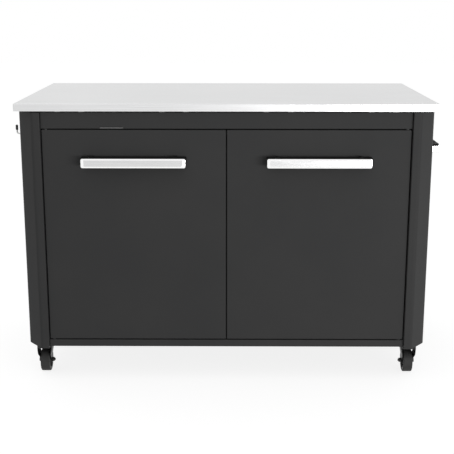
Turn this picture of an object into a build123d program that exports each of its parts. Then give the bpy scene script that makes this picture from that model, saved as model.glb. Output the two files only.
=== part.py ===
from build123d import *
import os

# Outdoor kitchen module: a steel cabinet on casters with two hinged doors under a folded worktop.
# Lengths are in millimetres. X runs to the right, Y to the back and Z up.
# The origin is on the floor, below the middle of the whole object.

# Worktop
worktop_width = 1300.0
worktop_depth = 690.0
worktop_height = 900.0
worktop_lip = 23.0
worktop_sheet = 1.5
worktop_return = 18.0
worktop_corner_radius = 3.0
worktop_bend_radius = 2.0
stiffener_count = 4
stiffener_web = 60.0
stiffener_foot = 16.0
stiffener_inset = 90.0
stiffener_end_gap = 1.0

# Cabinet body
side_overhang = 3.0
post_setback = 3.0
shadow_gap = 4.0
skin_recess = 9.0
side_recess = 1.5
underside_height = 114.5
sheet = 1.5
bend_radius = 2.5

# Corner posts
post_width = 75.0
post_depth = 95.0
post_chamfer_width = 51.0
post_chamfer_depth = 62.0
post_wall = 2.0
post_drop = 4.5
post_foot_thickness = 4.0
post_outer_radius = 28.0
post_front_radius = 14.0
post_edge_radius = 2.5

# Rails, panels, divider and shelves
top_rail_height = 51.0
bottom_rail_height = 23.0
rail_flange = 46.0
rail_seam = 2.0
panel_flange = 18.0
back_top_flange = 45.0
divider_setback = 3.0
divider_flange = 40.0
divider_foot = 20.0
shelf_share = 0.5
shelf_thickness = 20.0
shelf_clearance = 0.5
shelf_end_gap = 2.0
shelf_rail_leg = 20.0

# Doors
door_gap = 3.0
door_thickness = 22.0
door_liner_flange = 8.0
door_liner_fit = 0.2
pivot_inset = 12.0
pivot_setback = 9.0
pin_radius = 3.0
pin_collar_radius = 4.5
pin_collar_height = 4.0
pin_tail = 20.0
pin_end = 2.0
bush_radius = 5.0
bush_flange_radius = 6.5
running_gap = 0.3
fit_clearance = 0.05

# Door catches and bumpers
catch_offset = 353.0
catch_length = 72.0
catch_bar_depth = 20.0
catch_bar_height = 3.0
catch_bar_setback = 1.5
notch_margin = 1.0
notch_height = 6.0
magnet_depth = 12.0
magnet_height = 18.0
strike_height = 26.0
strike_sheet = 1.2
bumper_radius = 5.0
bumper_height = 12.0
bumper_offset = 120.0

# Handles
handle_length = 320.0
handle_height = 28.6
handle_proud = 40.0
handle_plate_thickness = 4.0
handle_bevel_depth = 1.6
handle_bevel_side = 4.6
handle_bevel_end = 9.0
handle_corner_radius = 5.0
handle_return = 22.0
handle_return_thickness = 2.5
handle_border = 1.5
handle_backing = 5.0
handle_backing_height = 9.0
handle_web = 4.0
handle_foot = 3.0
handle_foot_height = 14.0
handle_inner_radius = 3.0
boss_spacing = 256.0
boss_radius = 7.5
boss_drop = 4.5
boss_tap_depth = 20.0
door_handle_drop = 98.0
side_handle_drop = 131.0
side_fitting_setback = 303.0

# Hook rail
hook_count = 4
hook_pitch = 80.0
hook_rail_length = 300.0
hook_rail_height = 24.0
hook_rail_thickness = 3.0
hook_rail_foot = 22.0
hook_rail_ramp = 8.0
hook_radius = 2.5
hook_tip_radius = 4.0
hook_bend_radius = 6.0
hook_spread = 26.0
hook_rise = 12.0
hook_drop = 92.5
hook_tip_length = 16.5
hook_shank_length = 24.0

# Casters
wheel_diameter = 75.0
wheel_width = 30.0
wheel_trail = 26.0
tyre_thickness = 7.0
tyre_shoulder = 3.0
hub_web_recess = 7.0
hub_boss_radius = 11.0
hub_rim = 5.0
hub_hole_count = 6
hub_hole_radius = 5.0
axle_radius = 4.0
axle_head_radius = 7.0
axle_head_height = 5.0
axle_nut_height = 6.5
axle_thread_end = 3.0
caster_inset_side = 47.0
caster_inset_end = 67.0
caster_plate_side = 50.0
caster_plate_thickness = 3.0
caster_bolt_spacing = 38.0
caster_bolt_radius = 3.0
caster_bolt_head_radius = 5.0
caster_bolt_head_height = 3.5
caster_nut_height = 5.0
race_radius = 21.0
race_height = 9.0
kingpin_radius = 5.0
kingpin_head_radius = 9.0
kingpin_head_height = 4.0
crown_thickness = 4.0
crown_edge_radius = 1.5
crown_radius = 25.0
crown_shoulder = 10.0
fork_wall = 2.5
fork_side_gap = 1.5
fork_taper_height = 36.0
fork_leg_radius = 11.0
fork_neck = 14.0

# Brake pedals
brake_pin_radius = 2.5
brake_pin_trail = 22.0
brake_pin_drop = 12.5
brake_barrel_radius = 5.0
brake_plate_thickness = 3.0
brake_side_gap = 1.0
brake_pedal_start = 42.0
brake_pedal_end = 66.0
brake_pedal_width = 50.0
brake_slope = 12.0
brake_shoe_length = 9.0

# Frame and handle screws
screw_radius = 2.5
screw_head_radius = 4.75
screw_head_height = 2.75
screw_socket_radius = 1.6
screw_socket_depth = 1.6
screw_length = 11.0
screw_hole_clearance = 0.1
panel_screw_rows = 4
overrun = 5.0

# Heights
cabinet_top = worktop_height - worktop_lip - shadow_gap
post_bottom = underside_height - post_drop
top_rail_bottom = cabinet_top - top_rail_height
base_top = underside_height + bottom_rail_height
door_top = top_rail_bottom - door_gap
door_bottom = base_top + door_gap
door_height = door_top - door_bottom
door_middle = (door_top + door_bottom) / 2
shelf_height = base_top + shelf_share * (top_rail_bottom - base_top)
side_handle_height = cabinet_top - side_handle_drop
hook_bottom_height = cabinet_top - hook_drop
body_height = cabinet_top - underside_height
body_middle = (cabinet_top + underside_height) / 2

# Places across the cabinet
cabinet_half = worktop_width / 2 - side_overhang
opening_half = cabinet_half - post_width
side_skin = cabinet_half - side_recess
handle_reach = handle_proud - post_setback - skin_recess
worktop_front = (handle_reach - worktop_depth) / 2
worktop_back = worktop_front + worktop_depth
front_y = worktop_front + post_setback
back_y = worktop_back - post_setback
middle_y = (front_y + back_y) / 2
door_face = front_y + skin_recess
back_face = back_y - skin_recess
door_back = door_face + door_thickness
side_front = front_y + post_depth
side_back = back_y - post_depth
side_length = side_back - side_front
rail_back = door_face + rail_flange
divider_front = door_back + divider_setback
pivot_x = opening_half - door_gap - pivot_inset
pivot_y = door_face + pivot_setback
door_width = opening_half - door_gap - door_gap / 2
door_centre = door_gap / 2 + door_width / 2
door_handle_height = door_top - door_handle_drop
caster_x = cabinet_half - caster_inset_side
caster_front_y = front_y + caster_inset_end
caster_back_y = back_y - caster_inset_end
hole_radius = screw_radius + screw_hole_clearance
side_fitting_y = front_y + side_fitting_setback
side_reach = side_skin + handle_proud
hook_tip_x = side_reach - hook_tip_radius
hook_shank_x = hook_tip_x - hook_spread
hook_bar_x = hook_shank_x - hook_radius
hook_bar_height = hook_bottom_height + hook_radius + hook_rise + hook_shank_length / 2
side_signs = {"left": -1, "right": 1}


def save(part, name):
    """Labels one finished node and writes its STEP file."""
    part.label = name
    export_step(part, f"parts/{name}.step")


def facing(origin, outward, across):
    """A plane whose Z axis points outward and whose X axis runs across."""
    return Plane(origin=origin, x_dir=across, z_dir=outward)


def drill(seats, radius, reach):
    """Cuts one round hole through the part in hand at every seat."""
    with Locations(*seats):
        Cylinder(radius=radius, height=2 * reach, mode=Mode.SUBTRACT)


def folded_tray(face, width, height, depth, wall, bend):
    """Sheet tray: its outer skin lies on the plane and its walls run back from it."""
    with BuildPart() as tray:
        with BuildSketch(face):
            RectangleRounded(width, height, bend)
        extrude(amount=-depth)
        skin = tray.faces().sort_by(Axis(face.origin, face.z_dir))[-1]
        fillet(skin.edges(), min(bend, depth - wall))
        with BuildSketch(face.offset(-wall)):
            Rectangle(width - 2 * wall, height - 2 * wall)
        extrude(amount=-depth, mode=Mode.SUBTRACT)
    return tray.part


def button_screw(length):
    """Button-head screw with a hexagon socket; the underside of its head is at the origin."""
    with BuildPart() as screw:
        Cylinder(screw_radius, length, align=(Align.CENTER, Align.CENTER, Align.MAX))
        Cylinder(screw_head_radius, screw_head_height, align=(Align.CENTER, Align.CENTER, Align.MIN))
        crown = screw.faces().sort_by(Axis.Z)[-1]
        fillet(crown.edges(), screw_head_height / 2)
        with BuildSketch(Plane.XY.offset(screw_head_height)):
            RegularPolygon(screw_socket_radius, 6)
        extrude(amount=-screw_socket_depth, mode=Mode.SUBTRACT)
    return screw.part


# Screw seats: each plane lies under a screw head and points out of the hole
panel_rows = [
    underside_height + body_height * (row + 0.5) / panel_screw_rows for row in range(panel_screw_rows)
]
back_screw_seats = [
    facing((sign * (opening_half - sheet), back_face - panel_flange / 2, height), (-sign, 0, 0), (0, 1, 0))
    for sign in (-1, 1)
    for height in panel_rows
]
side_screw_seats = [
    facing((sign * (side_skin - panel_flange / 2), end + inward * sheet, height), (0, inward, 0), (1, 0, 0))
    for sign in (-1, 1)
    for end, inward in ((side_front, 1), (side_back, -1))
    for height in panel_rows
]
stiffener_step = 2 * (opening_half - stiffener_inset) / (stiffener_count - 1)
stiffener_places = [stiffener_inset - opening_half + stiffener_step * i for i in range(stiffener_count)]
stiffener_screw_seats = [
    facing((place + stiffener_web / 2 + stiffener_foot / 2, depth, cabinet_top - sheet), (0, 0, -1), (1, 0, 0))
    for place in stiffener_places
    for depth in (rail_back - rail_flange / 3, back_face - back_top_flange / 2)
]
divider_screw_seats = [
    facing((divider_foot / 2, middle_y + along, base_top + sheet), (0, 0, 1), (1, 0, 0))
    for along in (-side_length / 3, side_length / 3)
]
hook_screw_seats = [
    facing(
        (-side_skin - hook_rail_thickness,
         side_fitting_y + sign * (hook_rail_length / 2 - hook_rail_foot / 2),
         hook_bar_height),
        (-1, 0, 0),
        (0, 1, 0),
    )
    for sign in (-1, 1)
]


def boss_seats(seat, depth, outward_sign):
    """Planes on the two handle bosses, at a depth along the seat's normal."""
    rise = handle_height / 2 + handle_border - boss_drop
    base = Plane(origin=seat.origin, x_dir=seat.x_dir, z_dir=seat.z_dir).offset(depth)
    return [
        Plane(
            origin=base.from_local_coords((sign * boss_spacing / 2, rise, 0)),
            x_dir=seat.x_dir,
            z_dir=seat.z_dir * outward_sign,
        )
        for sign in (-1, 1)
    ]


side_handle_seat = facing((side_skin, side_fitting_y, side_handle_height), (1, 0, 0), (0, 1, 0))
side_handle_screw_seats = boss_seats(side_handle_seat, -sheet, -1)


# Worktop and its stiffeners
def worktop():
    """Folded tray with a turned-down lip and a flange turned in under it."""
    face = Plane(origin=(0, (worktop_front + worktop_back) / 2, worktop_height))
    with BuildPart() as top:
        with BuildSketch(face):
            RectangleRounded(worktop_width, worktop_depth, worktop_corner_radius)
        extrude(amount=-worktop_lip)
        fillet(top.faces().sort_by(Axis.Z)[-1].edges(), worktop_bend_radius)
        with BuildSketch(face.offset(-worktop_sheet)):
            Rectangle(worktop_width - 2 * worktop_sheet, worktop_depth - 2 * worktop_sheet)
        extrude(amount=-(worktop_lip - 2 * worktop_sheet), mode=Mode.SUBTRACT)
        with BuildSketch(face.offset(-worktop_sheet)):
            inset = 2 * (worktop_sheet + worktop_return)
            Rectangle(worktop_width - inset, worktop_depth - inset)
        extrude(amount=-worktop_lip, mode=Mode.SUBTRACT)
    save(top.part, "worktop")


def worktop_stiffeners():
    """Hat channels that run front to back and carry the worktop on the rails."""
    height = worktop_height - worktop_sheet - cabinet_top
    end_inset = worktop_sheet + worktop_return + stiffener_end_gap
    length = worktop_depth - 2 * end_inset
    start = Plane(origin=(0, worktop_front + end_inset, cabinet_top), x_dir=(1, 0, 0), z_dir=(0, -1, 0))
    with BuildPart() as hats:
        with BuildSketch(start):
            with Locations(*[(place, 0) for place in stiffener_places]):
                Rectangle(stiffener_web, height, align=(Align.CENTER, Align.MIN))
                Rectangle(stiffener_web + 2 * stiffener_foot, sheet, align=(Align.CENTER, Align.MIN))
                Rectangle(stiffener_web - 2 * sheet, height - sheet, align=(Align.CENTER, Align.MIN),
                          mode=Mode.SUBTRACT)
        extrude(amount=-length)
        drill(stiffener_screw_seats, hole_radius, overrun)
    save(hats.part, "worktop_stiffeners")


# Corner posts
def post(across, along, name):
    """Closed tube with a soft chamfer on its outer corner and a foot plate for the caster."""
    end_y = front_y if along < 0 else back_y
    outline = [
        (across * cabinet_half, end_y - along * post_depth),
        (across * cabinet_half, end_y - along * post_chamfer_depth),
        (across * (cabinet_half - post_chamfer_width), end_y),
        (across * opening_half, end_y),
        (across * opening_half, end_y - along * post_depth),
    ]
    radii = [post_edge_radius, post_outer_radius, post_front_radius, post_edge_radius, post_edge_radius]
    caster_y = caster_front_y if along < 0 else caster_back_y
    with BuildPart() as tube:
        with BuildSketch(Plane.XY.offset(post_bottom)) as section:
            with BuildLine():
                FilletPolyline(*outline, radius=radii, close=True)
            make_face()
        extrude(amount=cabinet_top - post_bottom)
        with BuildSketch(Plane.XY.offset(post_bottom + post_foot_thickness)):
            add(section.sketch_local)
            offset(amount=-post_wall, kind=Kind.INTERSECTION)
        extrude(amount=cabinet_top - post_bottom, mode=Mode.SUBTRACT)
        drill(caster_bolt_seats(across * caster_x, caster_y), caster_bolt_radius + screw_hole_clearance,
              caster_plate_thickness + post_foot_thickness + overrun)
        drill(back_screw_seats + side_screw_seats, hole_radius, overrun)
    save(tube.part, name)


def caster_bolt_seats(x, y):
    """Planes under the four bolt heads of one caster plate, pointing down."""
    half = caster_bolt_spacing / 2
    return [
        facing((x + i * half, y + j * half, post_bottom - caster_plate_thickness), (0, 0, -1), (1, 0, 0))
        for i in (-1, 1)
        for j in (-1, 1)
    ]


# Rails between the posts
def channel(face_y, low, high):
    """Folded channel that is open to the back, with soft front bends."""
    end = Plane(origin=(-opening_half, face_y, low), x_dir=(0, 1, 0), z_dir=(1, 0, 0))
    with BuildPart() as folded:
        with BuildSketch(end) as section:
            Rectangle(rail_flange, high - low, align=(Align.MIN, Align.MIN))
            fillet(section.vertices().group_by(Axis.X)[0], bend_radius)
            with Locations((sheet, sheet)):
                Rectangle(rail_flange, high - low - 2 * sheet, align=(Align.MIN, Align.MIN), mode=Mode.SUBTRACT)
        extrude(amount=2 * opening_half)
    return folded.part


def cut_rail_seams(low, high):
    """Narrow relief at both ends of a rail's front web, beside the posts."""
    with Locations(*[(sign * opening_half, door_face, (low + high) / 2) for sign in (-1, 1)]):
        Box(2 * rail_seam, 2 * sheet, high - low + 2 * overrun, mode=Mode.SUBTRACT)


def top_rail_front():
    with BuildPart() as rail:
        add(channel(door_face, top_rail_bottom, cabinet_top))
        cut_rail_seams(top_rail_bottom, cabinet_top)
        with BuildSketch(Plane.XZ.offset(-door_face - bend_radius)):
            with Locations((-catch_offset, top_rail_bottom + notch_height / 2)):
                Rectangle(catch_length + 2 * notch_margin, notch_height)
        extrude(amount=bend_radius + overrun, mode=Mode.SUBTRACT)
        drill(hinge_seats(top_rail_bottom), bush_radius, overrun)
        drill(stiffener_screw_seats, hole_radius, overrun)
    save(rail.part, "top_rail_front")


def bottom_rail_front():
    with BuildPart() as rail:
        add(channel(door_face, underside_height, base_top))
        cut_rail_seams(underside_height, base_top)
        drill(hinge_seats(base_top), bush_radius, overrun)
    save(rail.part, "bottom_rail_front")


# Panels
def side_panel(side):
    sign = side_signs[side]
    face = facing((sign * side_skin, (side_front + side_back) / 2, body_middle), (sign, 0, 0), (0, sign, 0))
    with BuildPart() as panel:
        add(folded_tray(face, side_length, body_height, panel_flange, sheet, bend_radius / 2))
        drill(side_screw_seats, hole_radius, overrun)
        if sign > 0:
            drill(side_handle_screw_seats, hole_radius, overrun)
        else:
            drill(hook_screw_seats, hole_radius, overrun)
    save(panel.part, f"side_panel_{side}")


def back_panel():
    """Sheet with folded sides and a deep top flange that carries the stiffeners."""
    height = cabinet_top - underside_height
    with BuildPart() as panel:
        with BuildSketch(Plane.XY.offset(underside_height)):
            with Locations((0, back_face)):
                Rectangle(2 * opening_half, panel_flange, align=(Align.CENTER, Align.MAX))
            with Locations((0, back_face - sheet)):
                Rectangle(2 * (opening_half - sheet), panel_flange, align=(Align.CENTER, Align.MAX),
                          mode=Mode.SUBTRACT)
        extrude(amount=height)
        with BuildSketch(Plane.XY.offset(cabinet_top - sheet)):
            with Locations((0, back_face)):
                Rectangle(2 * opening_half, back_top_flange, align=(Align.CENTER, Align.MAX))
        extrude(amount=sheet)
        drill(back_screw_seats + stiffener_screw_seats, hole_radius, overrun)
    save(panel.part, "back_panel")


def base_panel():
    """Cabinet floor with its edges folded down, notched round the posts."""
    floor_half = opening_half - sheet
    wing_half = side_skin - panel_flange
    floor_depth = back_face - sheet - rail_back
    floor_middle = (back_face - sheet + rail_back) / 2
    with BuildPart() as base:
        with BuildSketch(Plane.XY.offset(underside_height)):
            with Locations((0, floor_middle)):
                Rectangle(2 * floor_half, floor_depth)
            with Locations((0, middle_y)):
                Rectangle(2 * wing_half, side_length)
        extrude(amount=bottom_rail_height)
        with BuildSketch(Plane.XY.offset(underside_height)):
            with Locations((0, floor_middle)):
                Rectangle(2 * (floor_half - sheet), floor_depth - 2 * sheet)
            with Locations((0, middle_y)):
                Rectangle(2 * (wing_half - sheet), side_length - 2 * sheet)
        extrude(amount=bottom_rail_height - sheet, mode=Mode.SUBTRACT)
        drill(divider_screw_seats, hole_radius, overrun)
    save(base.part, "base_panel")


# Inside of the cabinet
def centre_divider():
    """Upright sheet with a front flange behind the doors and a foot on the cabinet floor."""
    depth = back_face - sheet - divider_front
    height = top_rail_bottom - base_top
    with BuildPart() as divider:
        with BuildSketch(Plane.XY.offset(base_top)):
            with Locations((0, divider_front)):
                Rectangle(sheet, depth, align=(Align.CENTER, Align.MIN))
                Rectangle(divider_flange, sheet, align=(Align.CENTER, Align.MIN))
        extrude(amount=height)
        with BuildSketch(Plane.XY.offset(base_top)):
            with Locations((0, rail_back)):
                Rectangle(divider_foot, back_face - sheet - rail_back, align=(Align.MIN, Align.MIN))
        extrude(amount=sheet)
        drill(divider_screw_seats, hole_radius, overrun)
    save(divider.part, "centre_divider")


def shelf_rails():
    """Four angle rails: two between the posts and two on the divider."""
    ledge = shelf_height - shelf_thickness
    start = Plane(origin=(0, side_front, ledge), x_dir=(1, 0, 0), z_dir=(0, -1, 0))
    with BuildPart() as rails:
        with BuildSketch(start):
            for sign in (-1, 1):
                for wall, inward in ((side_skin - panel_flange, -1), (sheet / 2, 1)):
                    leg_middle = sign * (wall + inward * sheet / 2)
                    ledge_middle = sign * (wall + inward * shelf_rail_leg / 2)
                    with Locations((leg_middle, shelf_rail_leg / 2 - sheet)):
                        Rectangle(sheet, shelf_rail_leg)
                    with Locations((ledge_middle, -sheet / 2)):
                        Rectangle(shelf_rail_leg, sheet)
        extrude(amount=-side_length)
    save(rails.part, "shelf_rails")


def shelf(side):
    sign = side_signs[side]
    inner = sheet / 2 + sheet + shelf_clearance
    outer = side_skin - panel_flange - sheet - shelf_clearance
    face = Plane(origin=(sign * (inner + outer) / 2, middle_y, shelf_height))
    part = folded_tray(face, outer - inner, side_length - 2 * shelf_end_gap, shelf_thickness, sheet, bend_radius)
    save(part, f"shelf_{side}")


# Hinges
def hinge_seats(height):
    """Planes on both door pivots at one height, pointing up."""
    return [facing((sign * pivot_x, pivot_y, height), (0, 0, 1), (1, 0, 0)) for sign in (-1, 1)]


def hinge_bushes():
    """Flanged plastic bushes in the rails, with a running gap to the doors."""
    flange = door_gap - running_gap
    tail = sheet + pin_end
    with BuildPart() as bushes:
        for height, up in ((top_rail_bottom, 1), (base_top, -1)):
            seats = [Plane(origin=seat.origin, x_dir=(1, 0, 0), z_dir=(0, 0, up)) for seat in hinge_seats(height)]
            with Locations(*seats):
                Cylinder(bush_flange_radius, flange, align=(Align.CENTER, Align.CENTER, Align.MAX))
                Cylinder(bush_radius - fit_clearance, tail, align=(Align.CENTER, Align.CENTER, Align.MIN))
                Cylinder(pin_radius + fit_clearance, 2 * (flange + tail), mode=Mode.SUBTRACT)
    save(bushes.part, "hinge_bushes")


def hinge_pins(side):
    """Two stepped pins, one through the door's top edge and one through its bottom edge."""
    x = side_signs[side] * pivot_x
    reach = door_gap + sheet + pin_end
    with BuildPart() as pins:
        for height, up in ((door_top - sheet, 1), (door_bottom + sheet, -1)):
            with Locations(Plane(origin=(x, pivot_y, height), x_dir=(1, 0, 0), z_dir=(0, 0, up))):
                Cylinder(pin_radius, sheet + reach, align=(Align.CENTER, Align.CENTER, Align.MIN))
                Cylinder(pin_radius, pin_tail, align=(Align.CENTER, Align.CENTER, Align.MAX))
                Cylinder(pin_collar_radius, pin_collar_height, align=(Align.CENTER, Align.CENTER, Align.MAX))
    save(pins.part, f"door_{side}_hinge_pins")


# Doors
def handle_seat(side):
    return facing((side_signs[side] * door_centre, door_face, door_handle_height), (0, -1, 0), (1, 0, 0))


def door_outer(side):
    sign = side_signs[side]
    face = facing((sign * door_centre, door_face, door_middle), (0, -1, 0), (1, 0, 0))
    with BuildPart() as shell:
        add(folded_tray(face, door_width, door_height, door_thickness, sheet, bend_radius))
        drill(boss_seats(handle_seat(side), 0, 1), hole_radius, overrun)
        pivots = [facing((sign * pivot_x, pivot_y, z), (0, 0, 1), (1, 0, 0)) for z in (door_bottom, door_top)]
        drill(pivots, pin_radius + fit_clearance, overrun)
    save(shell.part, f"door_{side}_outer")


def door_liner(side):
    inset = 2 * (sheet + door_liner_fit)
    face = facing((side_signs[side] * door_centre, door_back, door_middle), (0, 1, 0), (1, 0, 0))
    with BuildPart() as liner:
        add(folded_tray(face, door_width - inset, door_height - inset, door_liner_flange, sheet, bend_radius / 2))
        drill(boss_seats(handle_seat(side), -door_thickness, 1), hole_radius, overrun)
    save(liner.part, f"door_{side}_liner")


def strike(side):
    """Steel plate on the back of the door that meets the magnet."""
    height = door_top - sheet - door_liner_fit - strike_height / 2 - bend_radius
    seat = facing((side_signs[side] * catch_offset, door_back, height), (0, 1, 0), (1, 0, 0))
    with BuildPart() as plate:
        with BuildSketch(seat):
            RectangleRounded(catch_length, strike_height, bend_radius)
        extrude(amount=strike_sheet)
    save(plate.part, f"door_{side}_strike")


# Catches and bumpers
def catch_magnets():
    front = door_back + strike_sheet + running_gap
    with BuildPart() as magnets:
        with BuildSketch(Plane.XY.offset(top_rail_bottom)):
            with Locations((-catch_offset, front), (catch_offset, front)):
                Rectangle(catch_length, magnet_depth, align=(Align.CENTER, Align.MIN))
        extrude(amount=-magnet_height)
        fillet(magnets.edges().filter_by(Axis.Y), bend_radius)
    save(magnets.part, "catch_magnets")


def catch_bar():
    """Bar on the top rail's lower flange that shows through the notch over the left door."""
    with BuildPart() as bar:
        with BuildSketch(Plane.XY.offset(top_rail_bottom + sheet)):
            with Locations((-catch_offset, door_face + catch_bar_setback)):
                Rectangle(catch_length, catch_bar_depth, align=(Align.CENTER, Align.MIN))
        extrude(amount=catch_bar_height)
    save(bar.part, "catch_bar")


def door_bumpers():
    places = [sign * x for sign in (-1, 1) for x in (bumper_offset, opening_half - bumper_offset)]
    with BuildPart() as bumpers:
        with Locations(*[(x, door_back + running_gap + bumper_radius, base_top) for x in places]):
            Cylinder(bumper_radius, bumper_height, align=(Align.CENTER, Align.CENTER, Align.MIN))
        fillet(bumpers.faces().group_by(Axis.Z)[-1].edges(), bumper_radius / 4)
    save(bumpers.part, "door_bumpers")


# Handles
def handle_plate(seat, name):
    """Face plate with a flat middle, bevelled borders and both ends turned back below the carrier."""
    carrier_low = handle_height / 2 + handle_border - handle_backing_height
    with BuildPart() as plate:
        with BuildSketch(seat.offset(handle_proud - handle_plate_thickness)):
            RectangleRounded(handle_length, handle_height, handle_corner_radius)
        extrude(amount=handle_plate_thickness - handle_bevel_depth)
        with BuildSketch(seat.offset(handle_proud - handle_bevel_depth)):
            RectangleRounded(handle_length, handle_height, handle_corner_radius)
        with BuildSketch(seat.offset(handle_proud)):
            RectangleRounded(handle_length - 2 * handle_bevel_end, handle_height - 2 * handle_bevel_side,
                             handle_corner_radius / 2)
        loft(ruled=True)
        with BuildSketch(seat.offset(handle_proud - handle_plate_thickness)):
            RectangleRounded(handle_length, handle_height, handle_corner_radius)
            Rectangle(handle_length - 2 * handle_return_thickness, handle_height, mode=Mode.SUBTRACT)
            with Locations((0, carrier_low)):
                Rectangle(handle_length, handle_height, align=(Align.CENTER, Align.MIN), mode=Mode.SUBTRACT)
        extrude(amount=-handle_return)
    save(plate.part, name)


def handle_carrier(seat, name):
    """Dark carrier: web along the top, a flange behind the plate, a foot and two screw bosses."""
    top = handle_height / 2 + handle_border
    back = handle_proud - handle_plate_thickness
    inner = back - handle_backing
    low = top - handle_backing_height
    outline = [
        (0, top), (back, top), (back, low), (inner, low), (inner, top - handle_web),
        (handle_foot, top - handle_web), (handle_foot, top - handle_foot_height), (0, top - handle_foot_height),
    ]
    edge = handle_foot / 3
    bend = handle_inner_radius
    radii = [0, edge, edge, edge, bend, bend, edge, 0]
    with BuildPart() as carrier:
        with BuildSketch(Plane(origin=seat.origin, x_dir=seat.z_dir, z_dir=-seat.x_dir)):
            with BuildLine():
                FilletPolyline(*outline, radius=radii, close=True)
            make_face()
        extrude(amount=handle_length / 2 + handle_border, both=True)
        for boss in boss_seats(seat, 0, 1):
            with BuildSketch(boss):
                Circle(boss_radius)
            extrude(amount=inner)
            with BuildSketch(boss):
                Circle(hole_radius)
            extrude(amount=boss_tap_depth, mode=Mode.SUBTRACT)
    save(carrier.part, name)


def handle_screws(side):
    seats = boss_seats(handle_seat(side), -door_thickness, -1)
    screw = button_screw(door_thickness + boss_tap_depth / 2 + sheet)
    with BuildPart() as screws:
        with Locations(*seats):
            add(screw)
    save(screws.part, f"door_{side}_handle_screws")


# Hook rail on the left side
def hook_rail():
    """Flat bar whose two ends are joggled back to the side panel."""
    bar = hook_bar_x - side_skin
    thick = hook_rail_thickness
    end = hook_rail_length / 2
    foot = end - hook_rail_foot
    rise = foot - hook_rail_ramp
    half = [(0, end), (thick, end), (thick, foot), (bar, rise)]
    under = [(bar - thick, rise - thick / 2), (0, foot - thick / 2)]
    outline = half + [(x, -y) for x, y in reversed(half)] + [(x, -y) for x, y in reversed(under)] + under
    seat = Plane(
        origin=(-side_skin, side_fitting_y, hook_bar_height - hook_rail_height / 2),
        x_dir=(-1, 0, 0),
        z_dir=(0, 0, 1),
    )
    with BuildPart() as rail:
        with BuildSketch(seat):
            with BuildLine():
                Polyline(*outline, close=True)
            make_face()
        extrude(amount=hook_rail_height)
        drill(hook_screw_seats, hole_radius, overrun)
    save(rail.part, "hook_rail")


hook_places = [side_fitting_y + hook_pitch * (i - (hook_count - 1) / 2) for i in range(hook_count)]
hook_wire_height = hook_bottom_height + hook_radius
hook_tip_height = hook_wire_height + hook_rise


def tool_hooks():
    """Round-wire hooks: a shank on the bar, a level run and a rising end."""
    with BuildPart() as hooks:
        for place in hook_places:
            with BuildLine() as route:
                FilletPolyline((-hook_shank_x, place, hook_tip_height + hook_shank_length),
                               (-hook_shank_x, place, hook_wire_height),
                               (-hook_tip_x, place, hook_wire_height),
                               (-hook_tip_x, place, hook_tip_height), radius=hook_bend_radius)
            with BuildSketch(Plane(origin=route.line @ 0, z_dir=(0, 0, -1))):
                Circle(hook_radius)
            sweep(path=route.line)
    save(hooks.part, "tool_hooks")


def hook_tips():
    """Dark caps over the rising ends of the hooks."""
    with BuildPart() as tips:
        with Locations(*[(-hook_tip_x, place, hook_tip_height) for place in hook_places]):
            Cylinder(hook_tip_radius, hook_tip_length, align=(Align.CENTER, Align.CENTER, Align.MIN))
        fillet(tips.faces().group_by(Axis.Z)[-1].edges(), hook_radius)
    save(tips.part, "hook_tips")


def frame_screws():
    """Every short screw of the frame, the side handle and the hook rail."""
    seats = (back_screw_seats + side_screw_seats + stiffener_screw_seats + divider_screw_seats
             + hook_screw_seats + side_handle_screw_seats)
    screw = button_screw(screw_length)
    with BuildPart() as screws:
        with Locations(*seats):
            add(screw)
    save(screws.part, "frame_screws")


# Casters. Each stands in its own frame: X along the axle, Y along the trail, Z up from the floor
axle_height = wheel_diameter / 2
plate_bottom = post_bottom - caster_plate_thickness
crown_top = plate_bottom - race_height - running_gap
crown_bottom = crown_top - crown_thickness
fork_inner_half = wheel_width / 2 + fork_side_gap
fork_outer_half = fork_inner_half + fork_wall
brake_pin_height = crown_top - brake_pin_drop
caster_places = {
    "front_left": Plane(origin=(-caster_x, caster_front_y, 0)),
    "front_right": Plane(origin=(caster_x, caster_front_y, 0)),
    "rear_left": Plane(origin=(-caster_x, caster_back_y, 0)),
    "rear_right": Plane(origin=(caster_x, caster_back_y, 0)),
}


def side_view(place, across=0):
    """Sketch plane across the axle: its X axis follows the trail and its Y axis points up."""
    origin = place.from_local_coords((across, 0, 0))
    return Plane(origin=origin, x_dir=place.y_dir, z_dir=place.x_dir)


def front_view(place):
    """Sketch plane along the axle: its X axis follows the axle and its Y axis points up."""
    return Plane(origin=place.origin, x_dir=place.x_dir, z_dir=-place.y_dir)


def caster_plates():
    """Mounting plates with the upper race and the riveted kingpin."""
    pin_length = plate_bottom - crown_bottom + running_gap + kingpin_head_height
    with BuildPart() as plates:
        for place in caster_places.values():
            with BuildSketch(place.offset(plate_bottom)):
                RectangleRounded(caster_plate_side, caster_plate_side, bend_radius)
            extrude(amount=caster_plate_thickness)
            with Locations(Plane(origin=place.from_local_coords((0, 0, plate_bottom)), z_dir=(0, 0, -1))):
                Cylinder(race_radius, race_height, align=(Align.CENTER, Align.CENTER, Align.MIN))
                Cylinder(kingpin_radius, pin_length, align=(Align.CENTER, Align.CENTER, Align.MIN))
            with Locations(place.offset(crown_bottom - running_gap)):
                Cylinder(kingpin_head_radius, kingpin_head_height, align=(Align.CENTER, Align.CENTER, Align.MAX))
            drill(caster_bolt_seats(place.origin.X, place.origin.Y),
                  caster_bolt_radius + screw_hole_clearance, overrun)
    save(plates.part, "caster_plates")


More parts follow.
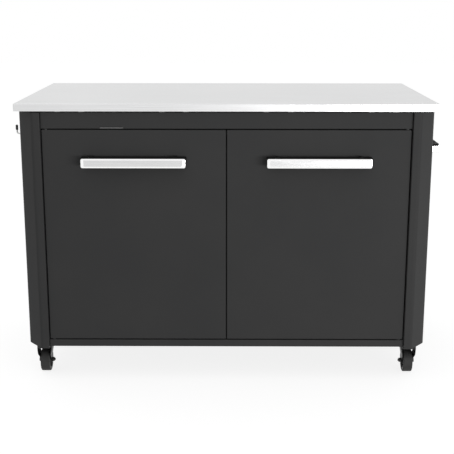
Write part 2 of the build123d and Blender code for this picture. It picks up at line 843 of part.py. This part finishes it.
def caster_bolts():
    """Sixteen bolts with their nuts inside the post feet."""
    grip = caster_plate_thickness + post_foot_thickness
    with BuildPart() as bolt:
        Cylinder(caster_bolt_radius, grip + caster_nut_height, align=(Align.CENTER, Align.CENTER, Align.MAX))
        Cylinder(caster_bolt_head_radius, caster_bolt_head_height, align=(Align.CENTER, Align.CENTER, Align.MIN))
        fillet(bolt.faces().sort_by(Axis.Z)[-1].edges(), caster_bolt_head_height / 2)
        with BuildSketch(Plane.XY.offset(-grip)):
            RegularPolygon(caster_bolt_head_radius, 6)
        extrude(amount=-caster_nut_height)
    seats = [seat for p in caster_places.values() for seat in caster_bolt_seats(p.origin.X, p.origin.Y)]
    with BuildPart() as bolts:
        with Locations(*seats):
            add(bolt.part)
    save(bolts.part, "caster_bolts")


def fork(place, name):
    """Pressed fork: a round crown whose two legs taper down to the axle."""
    taper_bottom = crown_bottom - fork_taper_height
    with BuildPart() as pressed:
        with BuildSketch(front_view(place)):
            with BuildLine():
                Polyline((-crown_radius, crown_top), (crown_radius, crown_top),
                         (crown_radius, crown_top - crown_shoulder), (fork_outer_half, taper_bottom),
                         (fork_outer_half, 0), (-fork_outer_half, 0), (-fork_outer_half, taper_bottom),
                         (-crown_radius, crown_top - crown_shoulder), close=True)
            make_face()
            inner_crown = crown_radius - fork_wall
            with BuildLine():
                Polyline((-inner_crown, crown_bottom), (inner_crown, crown_bottom),
                         (inner_crown, crown_top - crown_shoulder), (fork_inner_half, taper_bottom),
                         (fork_inner_half, 0), (-fork_inner_half, 0), (-fork_inner_half, taper_bottom),
                         (-inner_crown, crown_top - crown_shoulder), close=True)
            make_face(mode=Mode.SUBTRACT)
        extrude(amount=crown_radius + wheel_trail + fork_leg_radius, both=True)
        with BuildSketch(side_view(place)):
            with BuildLine():
                Polyline((-crown_radius, crown_top), (crown_radius, crown_top),
                         (wheel_trail + fork_leg_radius, axle_height),
                         (wheel_trail - fork_leg_radius, axle_height),
                         (-crown_radius, crown_top - fork_neck), close=True)
            make_face()
            with Locations((wheel_trail, axle_height)):
                Circle(fork_leg_radius)
        extrude(amount=crown_radius, both=True, mode=Mode.INTERSECT)
        with BuildSketch(place):
            Circle(crown_radius)
            Rectangle(2 * crown_radius, wheel_trail + 2 * fork_leg_radius, align=(Align.CENTER, Align.MIN))
        extrude(amount=crown_top, mode=Mode.INTERSECT)
        fillet(pressed.faces().sort_by(Axis.Z)[-1].edges(), crown_edge_radius)
        with Locations(place.offset(crown_bottom)):
            Cylinder(kingpin_radius + fit_clearance, 2 * overrun, mode=Mode.SUBTRACT)
        with BuildSketch(side_view(place)):
            with Locations((wheel_trail, axle_height)):
                Circle(axle_radius + fit_clearance)
            if "front" in name:
                with Locations((brake_pin_trail, brake_pin_height)):
                    Circle(brake_pin_radius)
        extrude(amount=crown_radius, both=True, mode=Mode.SUBTRACT)
    save(pressed.part, f"caster_{name}_fork")


def axle(place, name):
    """Axle bolt through the fork, with a hexagon head outside and a nut inside."""
    outward = -1 if place.origin.X < 0 else 1
    start = place.from_local_coords((outward * fork_outer_half, wheel_trail, axle_height))
    seat = Plane(origin=start, x_dir=place.y_dir, z_dir=place.x_dir * outward)
    shank = 2 * fork_outer_half + axle_nut_height + axle_thread_end
    with BuildPart() as bolt:
        with BuildSketch(seat):
            RegularPolygon(axle_head_radius, 6)
        extrude(amount=axle_head_height)
        with BuildSketch(seat):
            Circle(axle_radius)
        extrude(amount=-shank)
        with BuildSketch(seat.offset(-2 * fork_outer_half)):
            RegularPolygon(axle_head_radius, 6)
        extrude(amount=-axle_nut_height)
    save(bolt.part, f"caster_{name}_axle")


def wheel_plane(place):
    """Plane through the wheel's middle whose X axis is radial and whose Y axis is the axle."""
    origin = place.from_local_coords((0, wheel_trail, axle_height))
    return Plane(origin=origin, x_dir=place.z_dir, z_dir=place.y_dir)


def hub(place, name):
    """Moulded hub: a boss on the axle, a thin pierced web and a rim."""
    half = wheel_width / 2 + fork_side_gap - running_gap
    rim_half = wheel_width / 2 - running_gap
    rim = wheel_diameter / 2 - tyre_thickness
    web_half = rim_half - hub_web_recess
    bore = axle_radius + fit_clearance
    plane = wheel_plane(place)
    with BuildPart() as moulded:
        with BuildSketch(plane):
            with BuildLine():
                Polyline((bore, -half), (hub_boss_radius, -half), (hub_boss_radius, -web_half),
                         (rim - hub_rim, -web_half), (rim - hub_rim, -rim_half), (rim, -rim_half),
                         (rim, rim_half), (rim - hub_rim, rim_half), (rim - hub_rim, web_half),
                         (hub_boss_radius, web_half), (hub_boss_radius, half), (bore, half), close=True)
            make_face()
        revolve(axis=Axis(plane.origin, plane.y_dir))
        with BuildSketch(side_view(place)):
            with Locations((wheel_trail, axle_height)):
                with PolarLocations((hub_boss_radius + rim - hub_rim) / 2, hub_hole_count):
                    Circle(hub_hole_radius)
        extrude(amount=wheel_width, both=True, mode=Mode.SUBTRACT)
    save(moulded.part, f"wheel_{name}_hub")


def tyre(place, name):
    """Tread ring with rounded shoulders."""
    half = wheel_width / 2
    rim = wheel_diameter / 2 - tyre_thickness + fit_clearance
    plane = wheel_plane(place)
    with BuildPart() as ring:
        with BuildSketch(plane) as section:
            with Locations(((wheel_diameter / 2 + rim) / 2, 0)):
                Rectangle(wheel_diameter / 2 - rim, 2 * half)
            outer = section.vertices().group_by(Axis.X)[-1]
            fillet(outer, min(tyre_shoulder, tyre_thickness / 2))
        revolve(axis=Axis(plane.origin, plane.y_dir))
    save(ring.part, f"wheel_{name}_tyre")


def brake_pedal(place, name):
    """Pedal with a barrel on a cross pin in the fork, a shoe over the tyre and a broad step."""
    arm_half = fork_inner_half - brake_side_gap
    pin_half = fork_outer_half - fit_clearance
    pin = (brake_pin_trail, brake_pin_height)
    thick = brake_plate_thickness
    step_end = (brake_pedal_end, brake_pin_height - brake_slope)
    shoe_height = axle_height + wheel_diameter / 2 + running_gap
    with BuildPart() as pedal:
        with BuildSketch(side_view(place)):
            with Locations(pin):
                Circle(brake_barrel_radius)
            with BuildLine():
                Polyline((pin[0], pin[1] - thick / 2), (step_end[0], step_end[1] - thick / 2),
                         (step_end[0], step_end[1] + thick / 2), (pin[0], pin[1] + thick / 2), close=True)
            make_face()
            with Locations((wheel_trail, shoe_height)):
                Rectangle(brake_shoe_length, pin[1] - shoe_height, align=(Align.MIN, Align.MIN))
        extrude(amount=arm_half, both=True)
        with BuildSketch(side_view(place)):
            with BuildLine():
                Polyline((step_end[0], step_end[1] - thick / 2), (step_end[0], step_end[1] + thick / 2),
                         (brake_pedal_start, step_end[1] + thick / 2 + brake_slope / 2),
                         (brake_pedal_start, step_end[1] - thick / 2 + brake_slope / 2), close=True)
            make_face()
        extrude(amount=brake_pedal_width / 2, both=True)
        with BuildSketch(side_view(place)):
            with Locations(pin):
                Circle(brake_pin_radius - fit_clearance)
        extrude(amount=pin_half, both=True)
    save(pedal.part, f"caster_{name}_brake")


def build():
    os.makedirs("parts", exist_ok=True)
    worktop()
    worktop_stiffeners()
    for across_name, across in side_signs.items():
        for along_name, along in (("front", -1), ("rear", 1)):
            post(across, along, f"post_{along_name}_{across_name}")
    top_rail_front()
    bottom_rail_front()
    back_panel()
    base_panel()
    centre_divider()
    shelf_rails()
    hinge_bushes()
    catch_magnets()
    catch_bar()
    door_bumpers()
    hook_rail()
    tool_hooks()
    hook_tips()
    frame_screws()
    caster_plates()
    caster_bolts()
    handle_plate(side_handle_seat, "side_handle_plate")
    handle_carrier(side_handle_seat, "side_handle_carrier")
    for side in side_signs:
        side_panel(side)
        shelf(side)
        door_outer(side)
        door_liner(side)
        hinge_pins(side)
        strike(side)
        handle_plate(handle_seat(side), f"door_{side}_handle_plate")
        handle_carrier(handle_seat(side), f"door_{side}_handle_carrier")
        handle_screws(side)
    for name, place in caster_places.items():
        fork(place, name)
        axle(place, name)
        hub(place, name)
        tyre(place, name)
        if "front" in name:
            brake_pedal(place, name)


build()
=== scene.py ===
import math

import bpy
from mathutils import Matrix, Vector


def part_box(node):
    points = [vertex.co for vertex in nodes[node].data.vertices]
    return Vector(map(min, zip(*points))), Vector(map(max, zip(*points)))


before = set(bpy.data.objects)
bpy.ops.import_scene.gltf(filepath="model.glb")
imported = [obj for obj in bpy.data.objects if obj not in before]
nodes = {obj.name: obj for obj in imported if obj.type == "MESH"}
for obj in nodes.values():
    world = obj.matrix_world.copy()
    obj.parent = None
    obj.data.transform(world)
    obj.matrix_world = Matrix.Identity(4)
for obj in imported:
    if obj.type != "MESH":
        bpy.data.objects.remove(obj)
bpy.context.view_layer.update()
scene = bpy.context.scene

SIDES = ("left", "right")
CORNERS = ("front_left", "front_right", "rear_left", "rear_right")

# Bare, polished face-plate margin whose much lighter colour is a painted highlight, along the
# handle and across it (m)
HANDLE_HIGHLIGHT_RIM_ALONG = 0.009
HANDLE_HIGHLIGHT_RIM_ACROSS = 0.0046
HANDLE_HIGHLIGHT_RIM_BLEND = 0.0003

# Radius of the edge rounding that only the shading shows (m)
STEEL_EDGE = 0.0006
COAT_EDGE = 0.0007

STEEL_TINT = (0.89, 0.89, 0.89, 1.0)
DUST_COLOUR = (0.17, 0.165, 0.155)
DUST_HEIGHT = 0.05

# Studio
FLOOR_HALF = 14.0
FLOOR_GREY = 0.3
FLOOR_GLOW = 0.84
WORLD_LIGHT = 0.55

# Camera, from the perspective fit of the photo (mm, m, degrees)
CAMERA_SENSOR = 36.0
CAMERA_LENS = 76.737
CAMERA_PLACE = (0.0181, -3.2730, 1.2308)
CAMERA_YAW, CAMERA_TILT, CAMERA_ROLL = 0.311, 76.342, 0.028

# Sockets of the colour kind of a Mix node
MIX_FIRST, MIX_SECOND, MIX_RESULT = 6, 7, 2


# ---------------------------------------------------------------- materials

class Nodes:
    """Small helper that adds and links shader nodes in one material."""

    def __init__(self, name):
        self.material = bpy.data.materials.new(name)
        self.material.use_nodes = True
        self.tree = self.material.node_tree
        self.tree.nodes.clear()
        self.output = self.tree.nodes.new("ShaderNodeOutputMaterial")
        self.shader = self.tree.nodes.new("ShaderNodeBsdfPrincipled")
        self.link(self.shader.outputs[0], self.output.inputs["Surface"])
        self.coords = self.tree.nodes.new("ShaderNodeTexCoord").outputs["Object"]

    def link(self, source, target):
        self.tree.links.new(source, target)

    def feed(self, source, socket):
        """Set a number or a colour on the socket itself, or link another node's output to it."""
        if isinstance(source, tuple):
            socket.default_value = (*source, 1.0)
        elif isinstance(source, (int, float)):
            socket.default_value = source
        else:
            self.link(source, socket)

    def mapped(self, scale=(1.0, 1.0, 1.0)):
        node = self.tree.nodes.new("ShaderNodeMapping")
        node.inputs["Scale"].default_value = scale
        self.link(self.coords, node.inputs["Vector"])
        return node.outputs["Vector"]

    def noise(self, vector, scale, detail, roughness):
        node = self.tree.nodes.new("ShaderNodeTexNoise")
        node.inputs["Scale"].default_value = scale
        node.inputs["Detail"].default_value = detail
        node.inputs["Roughness"].default_value = roughness
        self.link(vector, node.inputs["Vector"])
        return node.outputs["Fac"]

    def voronoi(self, vector, scale):
        node = self.tree.nodes.new("ShaderNodeTexVoronoi")
        node.inputs["Scale"].default_value = scale
        self.link(vector, node.inputs["Vector"])
        return node.outputs["Distance"]

    def ramp(self, value, low, high, out_low, out_high):
        node = self.tree.nodes.new("ShaderNodeMapRange")
        node.inputs["From Min"].default_value = low
        node.inputs["From Max"].default_value = high
        node.inputs["To Min"].default_value = out_low
        node.inputs["To Max"].default_value = out_high
        self.link(value, node.inputs["Value"])
        return node.outputs["Result"]

    def colours(self, value, stops):
        node = self.tree.nodes.new("ShaderNodeValToRGB")
        elements = node.color_ramp.elements
        while len(elements) < len(stops):
            elements.new(0.5)
        for element, (place, colour) in zip(elements, stops):
            element.position = place
            element.color = (*colour, 1.0)
        self.link(value, node.inputs["Fac"])
        return node.outputs["Color"]

    def mixed(self, factor, first, second):
        node = self.tree.nodes.new("ShaderNodeMix")
        node.data_type = "RGBA"
        self.link(factor, node.inputs["Factor"])
        self.feed(first, node.inputs[MIX_FIRST])
        self.feed(second, node.inputs[MIX_SECOND])
        return node.outputs[MIX_RESULT]

    def math(self, operation, first, second=0.0):
        node = self.tree.nodes.new("ShaderNodeMath")
        node.operation = operation
        self.feed(first, node.inputs[0])
        self.feed(second, node.inputs[1])
        return node.outputs[0]

    def separate(self):
        node = self.tree.nodes.new("ShaderNodeSeparateXYZ")
        self.link(self.coords, node.inputs[0])
        return node.outputs

    def bump(self, height, strength, distance, edge=0.0):
        node = self.tree.nodes.new("ShaderNodeBump")
        if edge:
            rounded = self.tree.nodes.new("ShaderNodeBevel")
            rounded.samples = 4
            rounded.inputs["Radius"].default_value = edge
            self.link(rounded.outputs["Normal"], node.inputs["Normal"])
        node.inputs["Strength"].default_value = strength
        node.inputs["Distance"].default_value = distance
        self.link(height, node.inputs["Height"])
        self.link(node.outputs["Normal"], self.shader.inputs["Normal"])

    def metal(self, roughness):
        self.feed(1.0, self.shader.inputs["Metallic"])
        self.feed(roughness, self.shader.inputs["Roughness"])

    def dielectric(self, roughness, specular):
        self.feed(roughness, self.shader.inputs["Roughness"])
        self.feed(specular, self.shader.inputs["Specular IOR Level"])

    def colour(self, source):
        self.link(source, self.shader.inputs["Base Color"])


def grey(value, warm=0.0):
    return (value * (1 + warm), value, value * (1 - warm))


def brushed_steel(name, along, low, high, rough):
    """Brushed stainless steel: long hair-fine scratches along one axis and slow tonal drift."""
    n = Nodes(name)
    fine_scale = [1400.0, 1400.0, 1400.0]
    fine_scale[along] = 9.0
    long_scale = [260.0, 260.0, 260.0]
    long_scale[along] = 2.2
    fine = n.noise(n.mapped(fine_scale), 1.0, 4.0, 0.6)
    streaks = n.noise(n.mapped(long_scale), 1.0, 5.0, 0.65)
    drift = n.noise(n.mapped(), 2.4, 2.0, 0.5)
    both = n.math("ADD", n.math("MULTIPLY", fine, 0.45), n.math("MULTIPLY", streaks, 0.55))
    tone = n.colours(both, [
        (0.3, grey(low, -0.006)), (0.5, grey((low + high) / 2, -0.003)), (0.72, grey(high)),
    ])
    n.colour(n.mixed(n.ramp(drift, 0.3, 0.7, 0.0, 0.22), tone, grey(low * 0.93, -0.01)))
    n.metal(n.ramp(both, 0.3, 0.7, rough - 0.05, rough + 0.07))
    n.shader.inputs["Specular Tint"].default_value = STEEL_TINT
    n.bump(both, 0.16, 0.0002, STEEL_EDGE)
    return n.material


def handle_steel(name, node, along):
    """Brushed face plate whose flat middle lies inside polished bevels; the bevels' much lighter
    colour is a painted highlight.
    """
    n = Nodes(name)
    low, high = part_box(node)
    scale = [1500.0, 1500.0, 1500.0]
    scale[along] = 12.0
    streaks = n.noise(n.mapped(scale), 1.0, 4.0, 0.6)
    drift = n.noise(n.mapped(), 14.0, 2.0, 0.5)
    xyz = n.separate()

    def within(axis, rim):
        """1 on the flat middle along one axis, 0 on its rim."""
        middle = (low[axis] + high[axis]) / 2
        half = (high[axis] - low[axis]) / 2 - rim
        offset = n.math("ABSOLUTE", n.math("SUBTRACT", xyz[axis], middle))
        return n.ramp(offset, half - HANDLE_HIGHLIGHT_RIM_BLEND, half + HANDLE_HIGHLIGHT_RIM_BLEND, 1.0, 0.0)

    inside = n.math("MULTIPLY", within(along, HANDLE_HIGHLIGHT_RIM_ALONG), within(2, HANDLE_HIGHLIGHT_RIM_ACROSS))
    panel = n.colours(streaks, [
        (0.3, grey(0.60, -0.006)), (0.5, grey(0.68, -0.003)), (0.72, grey(0.76)),
    ])
    panel = n.mixed(n.ramp(drift, 0.35, 0.7, 0.0, 0.3), panel, grey(0.58, -0.01))
    # Painted highlight: the polished rim gets a near-white colour, while the flat middle stays mid
    # grey.
    rim = n.colours(streaks, [(0.3, grey(0.9)), (0.7, grey(0.97))])
    n.colour(n.mixed(inside, rim, panel))
    rough = n.ramp(streaks, 0.3, 0.7, 0.2, 0.32)
    n.metal(n.math("MULTIPLY", rough, n.ramp(inside, 0.0, 1.0, 0.55, 1.0)))
    n.bump(streaks, 0.14, 0.0002)
    return n.material


def powder_coat(name, base, rough, specular, grain=900.0):
    """Textured powder coat: fine orange peel, faint specks and a slow change of tone."""
    n = Nodes(name)
    plain = n.mapped()
    peel = n.noise(plain, grain, 2.0, 0.5)
    speck = n.noise(plain, grain * 2.6, 1.0, 0.5)
    slow = n.noise(plain, 3.1, 3.0, 0.55)
    tone = n.colours(slow, [(0.3, grey(base * 0.95, -0.012)), (0.7, grey(base * 1.06, 0.004))])
    n.colour(n.mixed(n.ramp(speck, 0.55, 0.75, 0.0, 0.35), tone, grey(base * 1.45)))
    n.dielectric(n.ramp(peel, 0.3, 0.7, rough - 0.06, rough + 0.08), specular)
    n.bump(peel, 0.22, 0.00035, COAT_EDGE)
    return n.material


def plated_steel(name, base, rough=0.3):
    """Zinc-plated steel: bright with cloudy passivation and fine tool marks."""
    n = Nodes(name)
    cloud = n.noise(n.mapped(), 70.0, 4.0, 0.6)
    marks = n.noise(n.mapped((1.0, 1.0, 0.15)), 1600.0, 2.0, 0.5)
    n.colour(n.colours(cloud, [
        (0.3, grey(base * 0.84, 0.012)), (0.55, grey(base)), (0.75, grey(base * 1.1, -0.02)),
    ]))
    n.metal(n.ramp(cloud, 0.3, 0.7, rough - 0.06, rough + 0.12))
    n.bump(marks, 0.12, 0.0001)
    return n.material


def galvanised(name, base):
    """Galvanised sheet: crystalline spangle of mixed grey tones."""
    n = Nodes(name)
    plain = n.mapped()
    frost = n.noise(plain, 400.0, 3.0, 0.6)
    cell = n.math("ADD", n.voronoi(plain, 85.0), n.math("MULTIPLY", frost, 0.4))
    n.colour(n.colours(cell, [
        (0.15, grey(base * 0.8, -0.02)), (0.5, grey(base)), (0.9, grey(base * 1.15, 0.01)),
    ]))
    n.metal(n.ramp(cell, 0.1, 1.0, 0.36, 0.52))
    n.bump(frost, 0.1, 0.0001)
    return n.material


def moulded(name, base, rough, grain=1300.0, specular=0.4, dust=0.0):
    """Moulded plastic or rubber: fine spark grain, slow tone change and dust low down."""
    n = Nodes(name)
    plain = n.mapped()
    spark = n.noise(plain, grain, 2.0, 0.5)
    slow = n.noise(plain, 24.0, 4.0, 0.6)
    tone = n.colours(slow, [(0.3, grey(base * 0.88)), (0.7, grey(base * 1.12))])
    if dust:
        low = n.ramp(n.separate()[2], 0.0, DUST_HEIGHT, dust, dust * 0.25)
        patches = n.ramp(slow, 0.35, 0.7, 0.2, 1.0)
        tone = n.mixed(n.math("MULTIPLY", low, patches), tone, DUST_COLOUR)
    n.colour(tone)
    n.dielectric(n.ramp(spark, 0.3, 0.7, rough - 0.07, rough + 0.09), specular)
    n.bump(spark, 0.2, 0.0002)
    return n.material


MATERIALS = {
    "worktop": brushed_steel("worktop_brushed_steel", 0, 0.65, 0.81, 0.3),
    "coat": powder_coat("charcoal_powder_coat", 0.0475, 0.55, 0.08),
    "handle_left": handle_steel("handle_steel_left", "door_left_handle_plate", 0),
    "handle_right": handle_steel("handle_steel_right", "door_right_handle_plate", 0),
    "handle_side": handle_steel("handle_steel_side", "side_handle_plate", 1),
    "black": powder_coat("black_satin_coat", 0.008, 0.5, 0.1, 1200.0),
    "plated": plated_steel("zinc_plated_steel", 0.62),
    "dark_plated": plated_steel("dark_zinc_steel", 0.06, 0.38),
    "galvanised": galvanised("galvanised_sheet", 0.5),
    "caster": powder_coat("caster_black_coat", 0.005, 0.36, 0.2, 1500.0),
    "hub": moulded("hub_plastic", 0.065, 0.5, dust=0.12),
    "tyre": moulded("tyre_rubber", 0.032, 0.66, 900.0, 0.3, 0.1),
    "plastic": moulded("black_plastic", 0.016, 0.46),
    "rubber": moulded("black_rubber", 0.02, 0.75, 900.0, 0.3),
    "pale": moulded("grey_plastic", 0.16, 0.42),
}


def paint(name, key):
    data = nodes[name].data
    data.materials.clear()
    data.materials.append(MATERIALS[key])


# Every node that isn't named here has the charcoal powder coat.
finish_of = {
    "worktop": "worktop", "worktop_stiffeners": "galvanised",
    "hinge_bushes": "plastic", "catch_magnets": "plastic", "catch_bar": "pale",
    "door_bumpers": "rubber",
    "hook_rail": "plated", "tool_hooks": "plated", "hook_tips": "plastic",
    "frame_screws": "plated", "caster_plates": "caster", "caster_bolts": "dark_plated",
    "side_handle_plate": "handle_side", "side_handle_carrier": "black",
}
for side in SIDES:
    finish_of[f"door_{side}_strike"] = "plated"
    finish_of[f"door_{side}_hinge_pins"] = "plated"
    finish_of[f"door_{side}_handle_plate"] = f"handle_{side}"
    finish_of[f"door_{side}_handle_carrier"] = "black"
    finish_of[f"door_{side}_handle_screws"] = "plated"
for corner in CORNERS:
    finish_of[f"caster_{corner}_fork"] = "caster"
    finish_of[f"caster_{corner}_axle"] = "dark_plated"
    finish_of[f"wheel_{corner}_hub"] = "hub"
    finish_of[f"wheel_{corner}_tyre"] = "tyre"
    finish_of[f"caster_{corner}_brake"] = "plastic"
for node in nodes:
    paint(node, finish_of.get(node, "coat"))


# ---------------------------------------------------------------- floor, world and lamps

def seen_rays(tree):
    """1 for camera, glossy and transmission rays, 0 for those that light the object."""
    path = tree.nodes.new("ShaderNodeLightPath")
    seen = path.outputs["Is Camera Ray"]
    for kind in ("Is Glossy Ray", "Is Transmission Ray"):
        larger = tree.nodes.new("ShaderNodeMath")
        larger.operation = "MAXIMUM"
        tree.links.new(seen, larger.inputs[0])
        tree.links.new(path.outputs[kind], larger.inputs[1])
        seen = larger.outputs[0]
    return seen


def white_floor():
    """Pale floor that is white to the camera and in reflections, and keeps the object's shadow."""
    mesh = bpy.data.meshes.new("studio_floor")
    corners = [(x * FLOOR_HALF, y * FLOOR_HALF, 0) for x, y in ((-1, -1), (1, -1), (1, 1), (-1, 1))]
    mesh.from_pydata(corners, [], [(0, 1, 2, 3)])
    floor = bpy.data.objects.new("studio_floor", mesh)
    scene.collection.objects.link(floor)
    material = bpy.data.materials.new("studio_floor")
    material.use_nodes = True
    tree = material.node_tree
    tree.nodes.clear()
    output = tree.nodes.new("ShaderNodeOutputMaterial")
    total = tree.nodes.new("ShaderNodeAddShader")
    diffuse = tree.nodes.new("ShaderNodeBsdfDiffuse")
    diffuse.inputs["Color"].default_value = (*grey(FLOOR_GREY), 1.0)
    glow = tree.nodes.new("ShaderNodeEmission")
    power = tree.nodes.new("ShaderNodeMath")
    power.operation = "MULTIPLY"
    power.inputs[1].default_value = FLOOR_GLOW
    tree.links.new(seen_rays(tree), power.inputs[0])
    tree.links.new(power.outputs[0], glow.inputs["Strength"])
    tree.links.new(diffuse.outputs[0], total.inputs[0])
    tree.links.new(glow.outputs[0], total.inputs[1])
    tree.links.new(total.outputs[0], output.inputs["Surface"])
    mesh.materials.append(material)


def white_world():
    """White background, with less of it as light on the object."""
    world = bpy.data.worlds.new("studio_world")
    scene.world = world
    world.use_nodes = True
    tree = world.node_tree
    tree.nodes.clear()
    output = tree.nodes.new("ShaderNodeOutputWorld")
    background = tree.nodes.new("ShaderNodeBackground")
    background.inputs["Color"].default_value = (1.0, 1.0, 1.0, 1.0)
    strength = tree.nodes.new("ShaderNodeMapRange")
    strength.inputs["To Min"].default_value = WORLD_LIGHT
    strength.inputs["To Max"].default_value = 1.0
    tree.links.new(seen_rays(tree), strength.inputs["Value"])
    tree.links.new(strength.outputs["Result"], background.inputs["Strength"])
    tree.links.new(background.outputs[0], output.inputs["Surface"])


def softbox(name, place, target, width, height, power):
    light = bpy.data.lights.new(name, "AREA")
    light.shape = "RECTANGLE"
    light.size = width
    light.size_y = height
    light.energy = power
    lamp = bpy.data.objects.new(name, light)
    scene.collection.objects.link(lamp)
    lamp.location = place
    lamp.rotation_euler = (Vector(target) - Vector(place)).to_track_quat("-Z", "Y").to_euler()


white_floor()
white_world()
# The key lamp stays below the worktop's plane, so that the top never mirrors it.
softbox("key_right", (2.75, -4.4, 0.46), (0.2, -0.3, 0.46), 3.2, 0.84, 104.0)
softbox("top", (-0.4, 0.2, 3.6), (0.0, 0.0, 0.8), 6.0, 5.0, 26.0)


# ---------------------------------------------------------------- camera

def turned(degrees, axis):
    return Matrix.Rotation(math.radians(degrees), 3, axis)


camera_data = bpy.data.cameras.new("camera")
camera_data.sensor_width = CAMERA_SENSOR
camera_data.lens = CAMERA_LENS
camera = bpy.data.objects.new("camera", camera_data)
scene.collection.objects.link(camera)
camera.location = CAMERA_PLACE
pose = turned(CAMERA_YAW, "Z") @ turned(CAMERA_TILT, "X") @ turned(CAMERA_ROLL, "Z")
camera.rotation_euler = pose.to_euler()
scene.camera = camera
scene.view_settings.view_transform = "Standard"
